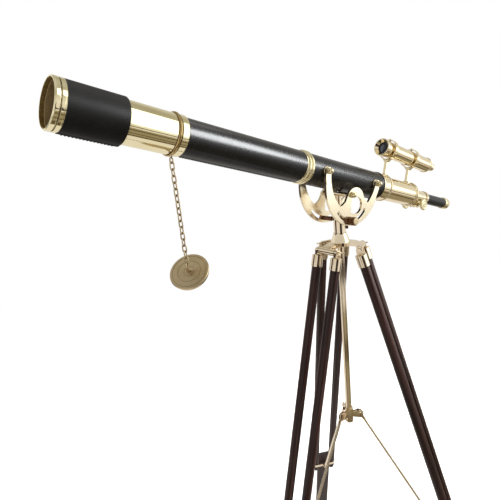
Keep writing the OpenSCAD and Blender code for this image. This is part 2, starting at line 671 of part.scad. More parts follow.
// Thumbscrew: +Z runs out of the strap
module leg_screw(k) color(brass) on_leg(k) translate([0, 0, -strap_l])
    along_y(rod_gap / 2 + rod_r + 0.2) {
        cylinder(h = 5, r = 2);
        translate([0, 0, 2.2]) cylinder(h = 3, r = 3.6);
        translate([1, 0, 9]) rotate([0, -90, 0]) linear_extrude(2) {
            circle(r = 5.5);
            translate([-4.5, -2.5]) square([4, 5]);
        }
    }

board_top = strap_l - 40;
shoe_h = 26;
module leg_board(k) color(wood) on_leg(k)
    translate([-board_t / 2, -board_w / 2, -leg_len + 12])
        cube([board_t, board_w, leg_len - 12 - board_top]);

module leg_foot(k) color(brass) difference() {
    on_leg(k) difference() {
        translate([0, 0, -leg_len - 8]) bar(board_t + 4, board_w + 4, shoe_h + 8);
        translate([0, 0, -leg_len + 12]) bar(board_t, board_w, shoe_h);
    }
    translate([-1000, -1000, -60]) cube([2000, 2000, 60]);
}

// Stay: from its pin on the strap up to its pin in the hub's lugs, in the radial plane
function strap_pin() = [leg_r0 + strap_l * sin(splay) - ear * cos(splay),
    pivot_drop - strap_l * cos(splay) - ear * sin(splay)];
module leg_stay(k) color(brass) rotate([0, 0, leg_azimuth(k)]) {
    foot = strap_pin();
    rise = [lug_r, hub_z] - foot;
    len = norm(rise);
    translate([foot[0], 0, foot[1]]) rotate([0, atan2(rise[0], rise[1]), 0]) {
        difference() {
            union() {
                for (z = [0, len]) translate([0, 0, z]) along_y(-stay_half)
                    cylinder(h = 2 * stay_half, r = stay_end_r);
                for (z = [0, len - 13]) translate([-2.7, -stay_half, z]) cube([5.4, 2 * stay_half, 13]);
                translate([0, 0, 12]) cylinder(h = len - 24, r = 2.8);
            }
            along_y(-5) cylinder(h = 10, r = pin_r + fit);
        }
        translate([0, 0, len]) along_y(-4) cylinder(h = 8, r = pin_r);
    }
}

// ---------- chain and cap ----------
wire = 1.05;
wire_gap = 0.1;              // slack between two links
link_w = 3.1;                // radius of a link's bends, to the wire's middle
ring_r = 4.2;                // radius of the ring that joins the eye to the chain
ring_drop = 0.65 + ring_r;   // ring's centre below the eye's centre
chain_eye = barrel_to_world(eye_x, eye_z);
chain_top = chain_eye - [0, 0, ring_drop + ring_r - wire - wire_gap / 2];
chain_foot = chain_top - [0, 0, link_n * link_pitch];
cap_tilt = 40;               // angle of the cap's face from the horizontal
cap_turn = 218;              // azimuth towards which the face looks
module link() {
    straight = link_pitch + 2 * wire + wire_gap - 2 * link_w;
    for (s = [0, 180]) rotate([0, s, 0]) {
        translate([0, 0, straight / 2]) rotate([90, 0, 0]) rotate_extrude(angle = 180)
            translate([link_w, 0]) circle(r = wire, $fn = 16);
        translate([link_w, 0, -straight / 2 - 0.01]) cylinder(h = straight + 0.02, r = wire, $fn = 16);
    }
}
module chain_ring() color(brass) translate(chain_eye - [0, 0, ring_drop])
    rotate([0, 90, 0]) rotate_extrude() translate([ring_r, 0]) circle(r = wire);

// The chain twists a little from link to link, so that its last link hooks the cap's ring
module cap_chain() color(brass) for (i = [0 : link_n - 1])
    translate(chain_top - [0, 0, (i + 0.5) * link_pitch])
        rotate([0, 0, 90 * (i % 2) + (cap_turn - 180) * i / (link_n - 1)]) link();

cap_ring_r = 3.4;
plug_r = mouth_r - 0.3;      // radius of the cap's plug, which enters the hood's mouth
module lens_cap() color(brass)
    translate(chain_foot + [0, 0, wire + wire_gap / 2]) rotate([0, 0, cap_turn])
    rotate([0, cap_tilt, 0]) translate([0, 0, -cap_ring_r]) {
        translate([0, 0, -cap_ring_r - 0.5]) rotate_extrude() polygon(concat([[0, 0]],
            [for (r = [8.5, 18.5, 27.5])
                each [[r - 0.5, 0], [r - 0.5, -0.4], [r + 0.5, -0.4], [r + 0.5, 0]]],
            [[cap_r - 0.8, 0], [cap_r, -0.8], [cap_r, -2], [plug_r, -2], [plug_r, -7],
             [plug_r - 1.4, -7], [plug_r - 1.4, -2], [0, -2]]));
        rotate([0, 90, 0]) rotate_extrude() translate([cap_ring_r, 0]) circle(r = 0.8);
    }

main_tube();
main_leather();
front_sleeve();
front_collar();
middle_band();
objective_cell();
objective_lenses();
rear_collar();
rear_tube();
rear_flange();
focuser_body();
finder_brackets();
bracket_screws();
finder_tube();
finder_objective();
yoke_plates();
yoke_studs();
yoke_nuts();
pivot_bolt();
hood_tube();
hood_leather();
hood_rim();
draw_tube();
focus_rack();
focus_pinion();
focus_knobs();
eyepiece();
eyepiece_lenses();
finder_eyepiece();
finder_eye_lens();
stem();
clamp_rod();
clamp_knob();
azimuth_screw();
tripod_head();
leg_pivot_bolts();
centre_tube();
spreader_hub();
hub_screw();
chain_ring();
cap_chain();
lens_cap();
leg_rods(1);  // leg_1_rods
leg_fittings(1);  // leg_1_fittings
leg_board(1);  // leg_1_board
leg_foot(1);  // leg_1_foot
leg_stay(1);  // leg_1_stay
leg_screw(1);  // leg_1_screw
leg_rods(2);  // leg_2_rods
leg_fittings(2);  // leg_2_fittings
leg_board(2);  // leg_2_board
leg_foot(2);  // leg_2_foot
leg_stay(2);  // leg_2_stay
leg_screw(2);  // leg_2_screw
leg_rods(3);  // leg_3_rods
leg_fittings(3);  // leg_3_fittings
leg_board(3);  // leg_3_board
leg_foot(3);  // leg_3_foot
leg_stay(3);  // leg_3_stay
leg_screw(3);  // leg_3_screw
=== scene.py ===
import json
import math

import bmesh
import bpy
from mathutils import Matrix, Vector, noise

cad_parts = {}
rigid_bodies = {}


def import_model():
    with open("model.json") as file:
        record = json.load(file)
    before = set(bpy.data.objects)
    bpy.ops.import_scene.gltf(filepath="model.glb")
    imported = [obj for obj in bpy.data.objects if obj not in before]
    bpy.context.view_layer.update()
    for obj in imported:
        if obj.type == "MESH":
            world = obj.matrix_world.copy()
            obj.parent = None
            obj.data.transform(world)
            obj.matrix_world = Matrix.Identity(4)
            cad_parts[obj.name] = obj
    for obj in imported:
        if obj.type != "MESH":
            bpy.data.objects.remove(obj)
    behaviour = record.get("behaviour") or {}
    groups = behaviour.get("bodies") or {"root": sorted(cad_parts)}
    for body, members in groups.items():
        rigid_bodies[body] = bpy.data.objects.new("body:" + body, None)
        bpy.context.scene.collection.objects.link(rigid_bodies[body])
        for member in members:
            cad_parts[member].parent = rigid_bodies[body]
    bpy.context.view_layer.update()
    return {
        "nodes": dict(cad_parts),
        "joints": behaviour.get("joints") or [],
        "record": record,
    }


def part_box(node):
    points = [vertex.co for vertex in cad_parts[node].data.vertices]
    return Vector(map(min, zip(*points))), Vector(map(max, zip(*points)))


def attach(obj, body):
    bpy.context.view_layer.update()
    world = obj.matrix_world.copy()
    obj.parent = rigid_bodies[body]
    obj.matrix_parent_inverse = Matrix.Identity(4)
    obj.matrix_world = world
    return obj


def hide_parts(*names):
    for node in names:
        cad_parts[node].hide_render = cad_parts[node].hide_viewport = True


# Looks of the brass telescope: its pieces, materials, light and camera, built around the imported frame.
# Blender works in metres. Profiles and small details below are in millimetres, turned into metres by MM.
MM = 0.001

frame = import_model()

NODES = frame["nodes"]
JOINTS = {joint["name"]: joint for joint in frame["joints"]}
MOUNTS = {mount["name"]: mount for mount in frame["record"]["mounts"]}
SLOT_OF = {part["node"]: part["material_slot"] for part in frame["record"]["subparts"]}
BODY_OF = {node: body for body, nodes in frame["record"]["behaviour"]["bodies"].items() for node in nodes}
UP = Vector((0, 0, 1))
LEGS = (1, 2, 3)


# ---------- lines: the axes along which the pieces are placed ----------
class Line:
    """A straight axis: stations run along it from its origin, and angle 0 is on the side given."""

    def __init__(self, origin, along, side):
        x = Vector(along).normalized()
        side = Vector(side)
        z = (side - x * x.dot(side)).normalized()
        self.matrix = Matrix((x, z.cross(x), z)).transposed().to_4x4()
        self.matrix.translation = Vector(origin)
        self.inverse = self.matrix.inverted()

    def span(self, node):
        """Lowest and highest station and the greatest radius of a CAD node, in millimetres."""
        points = [self.inverse @ v.co / MM for v in NODES[node].data.vertices]
        return min(p.x for p in points), max(p.x for p in points), max(p.yz.length for p in points)


def joint_line(name, side=UP):
    return Line(JOINTS[name]["pos_m"], JOINTS[name]["axis"], side)


def barrel_line(through):
    """The line through a point, parallel to the barrel, with station 0 above the tilt pivot."""
    along = Vector(JOINTS["hood_slide"]["axis"])
    through = Vector(through)
    pivot = Vector(JOINTS["tilt"]["pos_m"])
    return Line(through + along * (pivot - through).dot(along), along, UP)


def middle(node):
    low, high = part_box(node)
    return (low + high) / 2


BARREL = barrel_line(MOUNTS["eyepiece_rim"]["pos_m"])
FINDER = Line(middle("finder_objective"), JOINTS["finder_eyepiece_slide"]["axis"], UP)
POST = Line((0, 0, 0), UP, (1, 0, 0))


def leg_line(k):
    pivot = Vector(JOINTS[f"leg_{k}_fold"]["pos_m"])
    return Line(pivot, JOINTS[f"leg_{k}_extend"]["axis"], (pivot.x, pivot.y, 0))


# ---------- materials ----------
class Shader:
    """A node tree being written; each method returns the output it adds."""

    def __init__(self, name):
        self.material = bpy.data.materials.new(name)
        self.material.use_nodes = True
        self.tree = self.material.node_tree
        self.tree.nodes.clear()

    def add(self, kind, inputs, output=0, **settings):
        node = self.tree.nodes.new(kind)
        for key, value in settings.items():
            setattr(node, key, value)
        for key, value in inputs.items():
            if isinstance(value, bpy.types.NodeSocket):
                self.tree.links.new(value, node.inputs[key])
            else:
                node.inputs[key].default_value = value
        return node.outputs[output]

    def place(self, stretch=(1, 1, 1)):
        """The piece's own coordinates, metres: x runs along its line."""
        own = self.add("ShaderNodeTexCoord", {}, "Object")
        return self.add("ShaderNodeVectorMath", {0: own, 1: stretch}, operation="MULTIPLY")

    def noise(self, where, scale, detail=3.0, distortion=0.0):
        return self.add("ShaderNodeTexNoise",
                        {"Vector": where, "Scale": scale, "Detail": detail, "Distortion": distortion})

    def cells(self, where, scale, feature="F1"):
        return self.add("ShaderNodeTexVoronoi", {"Vector": where, "Scale": scale}, "Distance",
                        feature=feature)

    def ramp(self, value, low, high, to_low=0.0, to_high=1.0):
        return self.add("ShaderNodeMapRange", {"Value": value, "From Min": low, "From Max": high,
                                               "To Min": to_low, "To Max": to_high})

    def math(self, operation, a, b=0.0):
        return self.add("ShaderNodeMath", {0: a, 1: b}, operation=operation)

    def mix(self, factor, a, b):
        node = self.tree.nodes.new("ShaderNodeMix")
        node.data_type = "RGBA"
        for socket, value in zip((node.inputs[0], node.inputs[6], node.inputs[7]), (factor, a, b)):
            if isinstance(value, bpy.types.NodeSocket):
                self.tree.links.new(value, socket)
            else:
                socket.default_value = value
        return node.outputs[2]

    def bump(self, height, distance, normal=None):
        inputs = {"Height": height, "Distance": distance, "Strength": 1.0}
        if normal is not None:
            inputs["Normal"] = normal
        return self.add("ShaderNodeBump", inputs)

    def crevice(self, distance):
        """0 in the open and towards 1 where neighbouring surfaces are close; the brass paints shade with it.
        """
        open_share = self.add("ShaderNodeAmbientOcclusion", {"Distance": distance}, "AO", samples=6)
        return self.ramp(open_share, 0.95, 0.35)

    def edge(self, radius):
        """Near 1 along sharp edges."""
        soft = self.add("ShaderNodeBevel", {"Radius": radius}, samples=4)
        hard = self.add("ShaderNodeNewGeometry", {}, "Normal")
        same = self.add("ShaderNodeVectorMath", {0: soft, 1: hard}, "Value", operation="DOT_PRODUCT")
        return self.ramp(same, 0.995, 0.88)

    def finish(self, **inputs):
        named = {key.replace("_", " "): value for key, value in inputs.items()}
        surface = self.add("ShaderNodeBsdfPrincipled", named)
        self.add_output(surface)
        return self.material

    def add_output(self, surface):
        output = self.tree.nodes.new("ShaderNodeOutputMaterial")
        self.tree.links.new(surface, output.inputs["Surface"])


def rgb(r, g, b):
    return (r, g, b, 1.0)


def brass(name, colour, shade, rough, lines, painted_shade_share=0.6):
    """Brass with fine turning lines around the piece's line; painted_shade_share is the share of painted
    shade, a dark brown, where neighbouring surfaces are close.
    """
    s = Shader(name)
    patches = s.ramp(s.noise(s.place(), 35, 4), 0.42, 0.72)
    rings = s.noise(s.place((2600, 40, 40)), 1, 2)
    tint = s.mix(s.math("MULTIPLY", patches, 0.4), colour, shade)
    # Painted shade: the tint turns dark brown where neighbouring surfaces are close, in crevices and between
    # parts.
    tint = s.mix(s.math("MULTIPLY", s.crevice(0.004), painted_shade_share), tint, rgb(0.16, 0.085, 0.03))
    smudges = s.ramp(s.noise(s.place(), 60, 4, 0.6), 0.35, 0.75, rough * 0.9, rough * 1.25)
    rough = s.math("ADD", smudges, s.math("MULTIPLY", rings, lines * 0.08))
    return s.finish(Base_Color=tint, Metallic=1.0, Roughness=rough,
                    Normal=s.bump(rings, 0.000002 * lines))


def leather(name, gloss, rough):
    """Black grain leather: fine pebbled cells, soft creases, a faint brown where it is rubbed."""
    s = Shader(name)
    place = s.place()
    pebbles = s.cells(place, 1100, "SMOOTH_F1")
    creases = s.noise(s.place((150, 60, 60)), 1, 4, 0.5)
    clouds = s.noise(place, 22, 4)
    black = s.mix(s.ramp(clouds, 0.3, 0.75), rgb(0.0022, 0.0021, 0.0019), rgb(0.0045, 0.0042, 0.0038))
    rubbed = s.mix(s.math("MULTIPLY", s.edge(0.002), 0.35), black, rgb(0.06, 0.042, 0.032))
    rough = s.ramp(creases, 0.3, 0.7, rough, rough + 0.03)
    grain = s.bump(pebbles, 0.000015)
    return s.finish(Base_Color=rubbed, Roughness=rough, Specular_IOR_Level=gloss,
                    Normal=s.bump(creases, 0.00003, grain))


def lacquer(name):
    """Satin black lacquer with a trace of dust along the tube."""
    s = Shader(name)
    dust = s.noise(s.place((90, 500, 500)), 1, 4)
    tint = s.mix(dust, rgb(0.0045, 0.005, 0.005), rgb(0.008, 0.009, 0.009))
    rough = s.ramp(dust, 0.3, 0.7, 0.24, 0.28)
    return s.finish(Base_Color=tint, Roughness=rough, Specular_IOR_Level=0.16, Normal=s.bump(dust, 0.000002))


def rosewood(name):
    """Dark rosewood with long figure, open pores and a polished coat."""
    s = Shader(name)
    figure = s.noise(s.place((3.0, 95, 95)), 1, 5, 1.2)
    pores = s.noise(s.place((45, 1500, 1500)), 1, 2)
    tint = s.mix(s.ramp(figure, 0.36, 0.66), rgb(0.006, 0.0028, 0.0024), rgb(0.025, 0.0088, 0.0067))
    tint = s.mix(s.ramp(pores, 0.62, 0.72), tint, rgb(0.006, 0.003, 0.0025))
    tint = s.mix(s.math("MULTIPLY", s.edge(0.0015), 0.3), tint, rgb(0.11, 0.05, 0.03))
    rough = s.ramp(figure, 0.3, 0.7, 0.32, 0.44)
    return s.finish(Base_Color=tint, Roughness=rough, Specular_IOR_Level=0.12, Coat_Weight=0.3,
                    Coat_Roughness=0.1, Normal=s.bump(pores, 0.00001))


def coated_glass(name):
    """Lens glass with its coating: near black from outside, because the tubes behind it are black; lighter
    towards grazing angles as a painted reflection.
    """
    s = Shader(name)
    dust = s.ramp(s.noise(s.place(), 700, 2), 0.6, 0.8, 0.0, 0.03)
    grazing_sheen = s.add("ShaderNodeLayerWeight", {"Blend": 0.5}, "Facing")
    # Painted reflection: the tint turns lighter where the glass is seen at a grazing angle.
    tint = s.mix(grazing_sheen, rgb(0.013, 0.016, 0.02), rgb(0.04, 0.05, 0.058))
    return s.finish(Base_Color=tint, Roughness=s.math("ADD", dust, 0.12), Specular_IOR_Level=0.1)


def matt_black(name):
    s = Shader(name)
    speckle = s.noise(s.place(), 1500, 3)
    tint = s.mix(speckle, rgb(0.008, 0.008, 0.009), rgb(0.02, 0.02, 0.021))
    return s.finish(Base_Color=tint, Roughness=0.75, Normal=s.bump(speckle, 0.00005))


def thread(name):
    s = Shader(name)
    strands = s.noise(s.place((3000, 9000, 9000)), 1, 2)
    tint = s.mix(strands, rgb(0.012, 0.011, 0.01), rgb(0.035, 0.032, 0.03))
    return s.finish(Base_Color=tint, Roughness=0.6, Sheen_Weight=0.2, Normal=s.bump(strands, 0.0001))


MATERIALS = {
    "polished_brass": brass("polished_brass", rgb(0.95, 0.875, 0.59), rgb(0.88, 0.76, 0.42), 0.06, 0.5),
    "satin_brass": brass("satin_brass", rgb(0.66, 0.54, 0.35), rgb(0.5, 0.38, 0.2), 0.26, 1.0, 0.8),
    "dark_brass": brass("dark_brass", rgb(0.22, 0.11, 0.06), rgb(0.1, 0.045, 0.03), 0.2, 0.8),
    "black_leather": leather("black_leather", 0.27, 0.25),
    "black_lacquer": lacquer("black_lacquer"),
    "rosewood": rosewood("rosewood"),
    "optical_glass": coated_glass("optical_glass"),
}
LINING = matt_black("matt_black")
CHAMPAGNE = brass("champagne_brass", rgb(0.93, 0.81, 0.63), rgb(0.86, 0.71, 0.49), 0.08, 0.6, 0.35)
PLATE = brass("plate_brass", rgb(0.90, 0.80, 0.61), rgb(0.87, 0.76, 0.56), 0.17, 0.2, 0.1)
REAR_BRASS = brass("rear_brass", rgb(0.96, 0.85, 0.60), rgb(0.86, 0.71, 0.42), 0.08, 0.7, 0.8)
HOOD_LEATHER = leather("hood_leather", 0.08, 0.42)
BRONZE = brass("bronzed_brass", rgb(0.52, 0.38, 0.17), rgb(0.34, 0.2, 0.08), 0.08, 0.5, 0.9)
OLIVE = brass("inner_brass", rgb(0.62, 0.5, 0.3), rgb(0.46, 0.36, 0.2), 0.4, 1.6, 0.0)
THREAD = thread("waxed_thread")


# ---------- mesh tools ----------
def place_piece(name, mesh, line, node, material, lining=None):
    """Makes an object of a mesh in a line's coordinates, in the body of a CAD node, with the material given
    and an optional lining.
    """
    mesh.materials.append(material)
    if lining is not None:
        mesh.materials.append(lining)
    piece = bpy.data.objects.new(name, mesh)
    bpy.context.scene.collection.objects.link(piece)
    piece.matrix_world = line.matrix
    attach(piece, BODY_OF[node])
    return piece


def even_normals(piece):
    """Keeps flat faces flat next to small rounded edges."""
    piece.modifiers.new("normals", "WEIGHTED_NORMAL").keep_sharp = True


def skin(node, line, bevel=0.4, material=None, sharp=32, segments=3):
    """A CAD node's shape with rounded edges and smooth shading, shown in its place."""
    cad = NODES[node]
    mesh = bpy.data.meshes.new(f"{node}_skin")
    shape = bmesh.new()
    shape.from_mesh(cad.data)
    shape.transform(line.inverse)
    bmesh.ops.remove_doubles(shape, verts=shape.verts, dist=0.003 * MM)
    bmesh.ops.dissolve_limit(shape, angle_limit=math.radians(0.4), verts=shape.verts, edges=shape.edges)
    corners = [edge for edge in shape.edges
               if len(edge.link_faces) == 2 and edge.calc_face_angle(0) > math.radians(sharp)]
    if bevel and corners:
        bmesh.ops.bevel(shape, geom=corners, offset=bevel * MM, segments=segments, profile=0.5,
                        affect="EDGES", clamp_overlap=True)
    for face in shape.faces:
        face.smooth = True
    shape.to_mesh(mesh)
    shape.free()
    piece = place_piece(f"{node}_skin", mesh, line, node, material or MATERIALS[SLOT_OF[node]])
    even_normals(piece)
    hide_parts(node)
    return piece


def rounded(outline, radius=0.35, segments=4):
    """A closed outline of (station, radius) points with rounded corners; a third value is a corner's own."""
    smooth = []
    for i, corner in enumerate(outline):
        here = Vector(corner[:2])
        before = Vector(outline[i - 1][:2]) - here
        after = Vector(outline[(i + 1) % len(outline)][:2]) - here
        reach = min(corner[2] if len(corner) > 2 else radius, 0.48 * before.length, 0.48 * after.length)
        if reach < 0.01:
            smooth.append(here)
            continue
        start = here + before.normalized() * reach
        end = here + after.normalized() * reach
        for k in range(segments + 1):
            t = k / segments
            smooth.append(start.lerp(here, t).lerp(here.lerp(end, t), t))
    return smooth


def bead(station, base, size, count=8):
    """Points of a convex bead, for an outline that runs towards higher stations."""
    turns = [math.pi * (1 - k / count) for k in range(count + 1)]
    return [(station + size * math.cos(t), base + size * math.sin(t), 0) for t in turns]


def wide_bead(station, base, half, high, count=14):
    """The same for a bead that is wider than it is high."""
    turns = [math.pi * (1 - k / count) for k in range(count + 1)]
    return [(station + half * math.cos(t), base + high * math.sin(t), 0) for t in turns]


def radius_at(node, station, reach=0.6, line=None):
    """Greatest radius of a node near a station of its line, the barrel's unless given, in millimetres."""
    points = [(line or BARREL).inverse @ v.co / MM for v in NODES[node].data.vertices]
    near = [p.yz.length for p in points if abs(p.x - station) < reach]
    return max(near) if near else 0.0


def split_long(outline, pitch):
    """Adds points so that no stretch of an outline is longer than pitch."""
    points = []
    for here, after in zip(outline, outline[1:] + outline[:1]):
        parts = max(1, math.ceil((after - here).length / pitch))
        points += [here.lerp(after, k / parts) for k in range(parts)]
    return points


def turned(name, line, outline, node, steps=144, material=None, lining=None, relief=None, pitch=None,
           rounding=0.35, stands=True):
    """A closed outline turned about a line. relief(station, angle) adds to the radius, in millimetres; faces
    that look towards the line take the lining."""
    points = rounded(outline, rounding)
    if pitch:
        points = split_long(points, pitch)
    verts, faces, inward = [], [], []
    for point in points:
        for k in range(steps):
            angle = 2 * math.pi * k / steps
            radius = point.y + (relief(point.x, angle) if relief and point.y > 0.01 else 0)
            verts.append((point.x * MM, radius * math.sin(angle) * MM, radius * math.cos(angle) * MM))
    for i, point in enumerate(points):
        j = (i + 1) % len(points)
        for k in range(steps):
            n = (k + 1) % steps
            faces.append((i * steps + k, i * steps + n, j * steps + n, j * steps + k))
            inward.append(points[j].x < point.x)
    mesh = bpy.data.meshes.new(name)
    mesh.from_pydata(verts, [], faces)
    if lining is not None:
        mesh.polygons.foreach_set("material_index", [int(flag) for flag in inward])
    shape = bmesh.new()
    shape.from_mesh(mesh)
    bmesh.ops.remove_doubles(shape, verts=shape.verts, dist=0.002 * MM)
    for face in shape.faces:
        face.smooth = True
    bmesh.ops.recalc_face_normals(shape, faces=shape.faces)
    shape.to_mesh(mesh)
    shape.free()
    piece = place_piece(name, mesh, line, node, material or MATERIALS[SLOT_OF[node]], lining)
    even_normals(piece)
    if stands:
        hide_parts(node)
    return piece


def sweep(path, radius, closed, ring=12):
    """Vertices and faces of a round wire along a path."""
    count = len(path)
    verts, faces = [], []
    side = None
    for i, here in enumerate(path):
        after = path[(i + 1) % count] if closed or i + 1 < count else here
        before = path[i - 1] if closed or i else here
        ahead = (after - before).normalized()
        if side is None:
            side = ahead.orthogonal().normalized()
        side = (side - ahead * side.dot(ahead)).normalized()
        other = ahead.cross(side)
        for k in range(ring):
            turn = 2 * math.pi * k / ring
            verts.append(here + radius * (math.cos(turn) * side + math.sin(turn) * other))
    for i in range(count if closed else count - 1):
        j = (i + 1) % count
        for k in range(ring):
            n = (k + 1) % ring
            faces.append((i * ring + k, i * ring + n, j * ring + n, j * ring + k))
    if not closed:
        faces.append(tuple(reversed(range(ring))))
        faces.append(tuple(range((count - 1) * ring, count * ring)))
    return verts, faces


def wires(name, line, paths, radius, node, material=None, closed=False, ring=12):
    """Several round wires as one piece; the paths are in the line's millimetres."""
    verts, faces = [], []
    for path in paths:
        more, round_faces = sweep(path, radius, closed, ring)
        faces += [tuple(index + len(verts) for index in face) for face in round_faces]
        verts += [v * MM for v in more]
    mesh = bpy.data.meshes.new(name)
    mesh.from_pydata(verts, [], faces)
    for polygon in mesh.polygons:
        polygon.use_smooth = True
    return place_piece(name, mesh, line, node, material or MATERIALS[SLOT_OF[node]])


# ---------- leather and its seams ----------
SEAM = math.pi               # the seam runs along the underside
SEAM_HALF = 4.2              # half the width of the sewn overlap, mm
MAIN_LEATHER_R = 28.5        # the main leather beside its rolled rear ring, mm
FLAT_SEAM = 0.1              # seam height that clears the stem when the barrel is tilted up, mm


def leather_relief(radius, seam):
    """The sewn overlap, seam millimetres high, and the slight unevenness of a hand-wrapped tube."""
    def relief(station, angle):
        across = (angle - SEAM) * radius
        lap = seam / (1 + math.exp((abs(across) - SEAM_HALF) * 2.4))
        furrow = -0.45 * seam * math.exp(-((across / 0.7) ** 2))
        around = Vector((station / 45, math.cos(angle) * 1.3, math.sin(angle) * 1.3))
        return lap + furrow + 0.03 * noise.noise(around)
    return relief


def seam_stitches(name, line, start, end, radius, node, seam, pitch=4.6, lean=0.9):
    """Two rows of short slanting stitches beside the seam's furrow."""
    paths = []
    count = int((end - start - 8) / pitch)
    for row in (-1, 1):
        for i in range(count):
            station = start + 4 + (i + 0.5) * pitch
            path = []
            for k in range(7):
                t = k / 6
                across = row * (0.5 + 2.4 * t)
                lift = seam * (0.5 + 1.1 * math.sin(math.pi * t))
                angle = SEAM + across / radius
                r = radius + lift
                grazing_sheen = lean * row * (2 * t - 1)
                path.append(Vector((station + grazing_sheen, r * math.sin(angle), r * math.cos(angle))))
            paths.append(path)
    return wires(name, line, paths, 0.42, node, THREAD, ring=8)


def leather_sleeve(name, node, start, end, radius, thickness, rear_round, roll=0.0, stands=False,
                   material=None, seam=0.8):
    """A leather covering between two stations, with an optional rolled ring at its rear end."""
    inner = radius - thickness
    rear = bead(end - 2.4, radius - 0.1, roll) if roll else []
    outline = ([(start, inner, 0.1), (start, radius, 0.5)] + rear
               + [(end, radius, rear_round), (end, inner, 0.1)])
    piece = turned(name, BARREL, outline, node, 180, material, relief=leather_relief(radius, seam), pitch=6,
                   stands=stands)
    seam_stitches(f"{name}_stitches", BARREL, start, end - 2 * roll - 1.5, radius, node, seam)
    return piece


# ---------- barrel ----------
def build_hood():
    start, end, radius = BARREL.span("hood_leather")
    leather_sleeve("hood_leather_wrap", "hood_leather", start, end, radius, 1.5, 2.4, stands=True,
                   material=HOOD_LEATHER)
    mouth, _, _ = BARREL.span("hood_rim")
    bore = MOUNTS["hood_mouth"]["dims"]["r_mm"]
    depth = MOUNTS["hood_mouth"]["dims"]["length_mm"]
    groove = mouth + 7.6
    turned("hood_rim_turned", BARREL,
           [(mouth, bore, 0.3), (mouth, radius - 0.9, 0.7), (mouth + 1.6, radius + 0.15, 0.6),
            (groove - 1.1, radius + 0.35, 0.5), (groove - 0.8, radius - 1.6, 0.15),
            (groove + 0.5, radius - 1.6, 0.15), (groove + 0.8, radius + 0.05, 0.4),
            (groove + 4.9, radius + 0.3, 0.6), (groove + 5.3, radius - 0.2, 0.1), (start, radius - 0.1, 0.2),
            (start, radius - 1.5, 0), (mouth + depth, radius - 1.5, 0), (mouth + depth, bore, 0.1)],
           "hood_rim")
    front, back, _ = BARREL.span("hood_tube")
    sleeve = BARREL.span("front_sleeve")[2] + 0.08
    turned("hood_tube_turned", BARREL,
           [(front, sleeve), (front, radius - 1.5, 0), (back, radius - 1.5, 0), (back, sleeve)],
           "hood_tube", lining=OLIVE)


def build_front():
    start, end, radius = BARREL.span("front_sleeve")
    tube = BARREL.span("main_tube")[2]
    turned("front_sleeve_turned", BARREL, [(start, tube), (start, radius), (end, radius), (end, tube)],
           "front_sleeve", 192)
    start, end, radius = BARREL.span("front_collar")
    end = BARREL.span("main_leather")[0]
    band = radius_at("front_collar", end - 1)
    band += 0.6
    turned("front_collar_turned", BARREL,
           [(start, tube, 0.1), (start, band - 1.4, 0.3), (start + 7.0, band - 1.4, 0.2),
            (start + 7.4, band, 0.4), (end - 1.4, band, 0.6), (end, band - 1.0, 0.4), (end, tube, 0.1)],
           "front_collar", 192)
    turned("front_collar_bead", BARREL,
           [(start + 0.4, band - 1.5, 0)] + wide_bead(start + 3.5, band - 1.4, 3.0, 3.2)
           + [(start + 6.6, band - 1.5, 0), (start + 6.6, tube + 0.2, 0), (start + 0.4, tube + 0.2, 0)],
           "front_collar", 192, BRONZE, stands=False)
    eye = Line(JOINTS["chain_ring_turn"]["pos_m"], (0, 1, 0), UP)
    loop = [Vector((0, 2.6 * math.sin(t), 2.6 + 2.6 * math.cos(t)))
            for t in (2 * math.pi * k / 40 for k in range(40))]
    wires("front_collar_eye", eye, [loop], 0.85, "front_collar", closed=True)
    skin("objective_cell", BARREL, 0.3)
    skin("objective_lenses", BARREL, 0)


def build_middle():
    start, end, _ = BARREL.span("main_leather")
    radius = MAIN_LEATHER_R
    band_start, band_end, _ = BARREL.span("middle_band")
    tube_start, tube_end, tube = BARREL.span("main_tube")
    thickness = radius - tube
    front = leather_sleeve("main_leather_front", "main_leather", start, band_start, radius, thickness, 0.4)
    rear = leather_sleeve("main_leather_rear", "main_leather", band_end, end, radius, thickness, 0.8,
                          roll=1.5, seam=FLAT_SEAM)
    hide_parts("main_leather")
    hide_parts("main_leather")
    width = band_end - band_start
    turned("middle_band_turned", BARREL,
           [(band_start, tube, 0.1), (band_start, radius, 0.2), (band_start + 1.4, radius + 0.5, 0.3)]
           + bead(band_start + width * 0.3, radius + 0.1, 2.3, 12)
           + bead(band_start + width * 0.7, radius + 0.1, 2.3, 12)
           + [(band_end - 1.4, radius + 0.5, 0.3), (band_end, radius, 0.2), (band_end, tube, 0.1)],
           "middle_band", 192)
    bore = 26
    turned("main_tube_turned", BARREL,
           [(tube_start, bore), (tube_start, tube), (tube_end, tube), (tube_end, bore)],
           "main_tube", lining=LINING)


